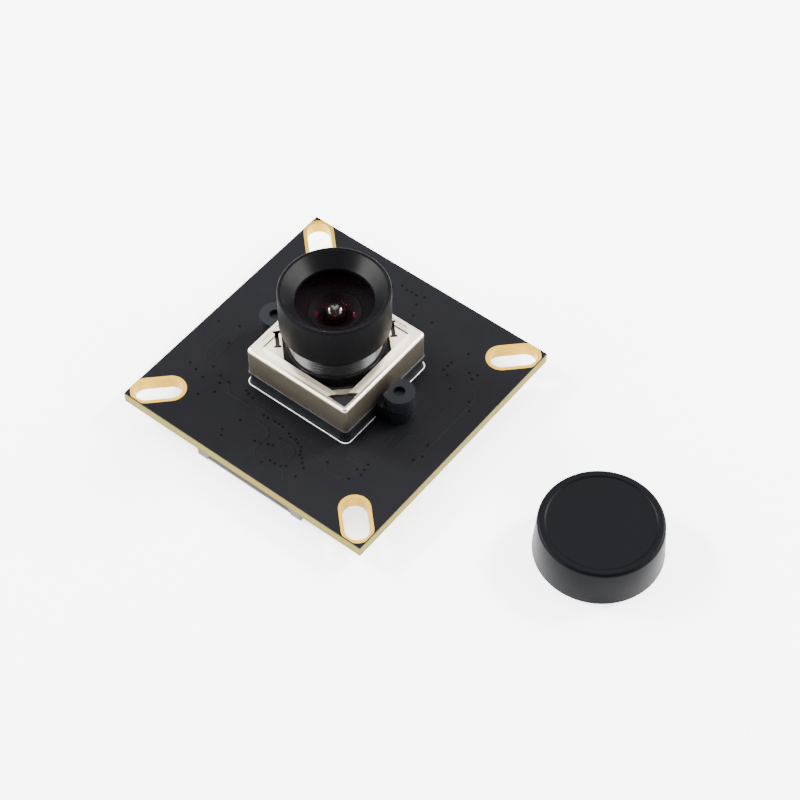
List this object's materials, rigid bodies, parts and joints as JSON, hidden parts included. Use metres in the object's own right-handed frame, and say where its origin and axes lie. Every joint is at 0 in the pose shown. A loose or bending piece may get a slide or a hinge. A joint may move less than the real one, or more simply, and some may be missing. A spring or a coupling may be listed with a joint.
{
  "type": "camera module",
  "caption": "Autofocus camera module: square circuit board with slotted corner holes, screwed-on holder, sheet-metal focus motor, threaded lens, cable connector and a loose lens cap",
  "frame": {"origin": "the middle of the board's upper face, where the optical axis crosses it and where the corner slots' diagonals meet", "axes": "+Z is the optical axis, towards what the lens sees; X and Y run along the board's edges; the cable connector opens towards -Y and the cap lies on the +X side"},
  "size_m": [0.0671, 0.038, 0.0198],
  "materials": {
    "board_laminate": "black solder mask over glass-fibre laminate, matt",
    "slot_gold": "gold-plated copper, satin",
    "holder_base": "moulded liquid-crystal polymer, matt",
    "holder_screws": "bright zinc-plated steel",
    "sensor_package": "unglazed alumina",
    "sensor_die": "polished silicon",
    "sensor_glass": "clear cover glass",
    "infrared_filter": "coated blue-green filter glass",
    "focus_can": "drawn nickel-silver sheet, bright",
    "spring_frame": "moulded liquid-crystal polymer, matt",
    "springs": "etched copper alloy",
    "magnets": "nickel-plated sintered magnet",
    "lens_carrier": "moulded liquid-crystal polymer, matt",
    "focus_coil": "enamelled copper wire",
    "lens_barrel": "black anodised aluminium, matt",
    "lens_glass": "optical glass with a green and magenta coating",
    "lens_rings": "black anodised, matt",
    "terminals": "tinned copper alloy",
    "connector_housing": "moulded nylon, natural",
    "connector_latch": "moulded nylon, black",
    "contacts": "gold-plated bronze",
    "chip_body": "moulded epoxy, matt",
    "crystal": "nickel-plated lid",
    "ferrite": "pressed ferrite",
    "capacitors": "sintered ceramic",
    "resistors": "glazed black over alumina",
    "lens_cap": "moulded polyethylene, semi-gloss"
  },
  "bodies": {
    "board": {"circuit_board": "board_laminate", "slot_pads": "slot_gold", "holder_base": "holder_base", "holder_screws": "holder_screws", "sensor_package": "sensor_package", "sensor_die": "sensor_die", "sensor_glass": "sensor_glass", "infrared_filter": "infrared_filter", "focus_can": "focus_can", "spring_frame": "spring_frame", "lower_spring": "springs", "upper_spring": "springs", "magnets": "magnets", "coil_terminals": "terminals", "cable_connector": "connector_housing", "connector_contacts": "contacts", "connector_anchors": "terminals", "processor_chip": "chip_body", "memory_chip": "chip_body", "motor_driver": "chip_body", "crystal": "crystal", "inductors": "ferrite", "inductor_terminals": "terminals", "regulators": "chip_body", "regulator_leads": "terminals", "capacitors": "capacitors", "resistors": "resistors", "chip_ends": "terminals", "lens_cap": "lens_cap"},
    "lens": {"lens_carrier": "lens_carrier", "focus_coil": "focus_coil", "lens_barrel": "lens_barrel", "front_element": "lens_glass", "front_ring": "lens_rings", "front_spacer": "lens_rings", "second_element": "lens_glass", "aperture_stop": "lens_rings", "third_element": "lens_glass", "rear_element": "lens_glass", "rear_ring": "lens_rings"},
    "latch": {"connector_latch": "connector_latch"}
  },
  "joints": [
    {"name": "lens_focus", "type": "slide", "parent": "board", "child": "lens", "axis": [0, 0, 1], "range_m": [0, 0.0004], "stiffness_N_per_m": 150, "springref_m": -0.0004, "deforming": ["upper_spring", "lower_spring"]},
    {"name": "latch_hinge", "type": "hinge", "parent": "board", "child": "latch", "pos_m": [0.0009, -0.0169, -0.0032], "axis": [1, 0, 0], "range_deg": [0, 90]}
  ]
}
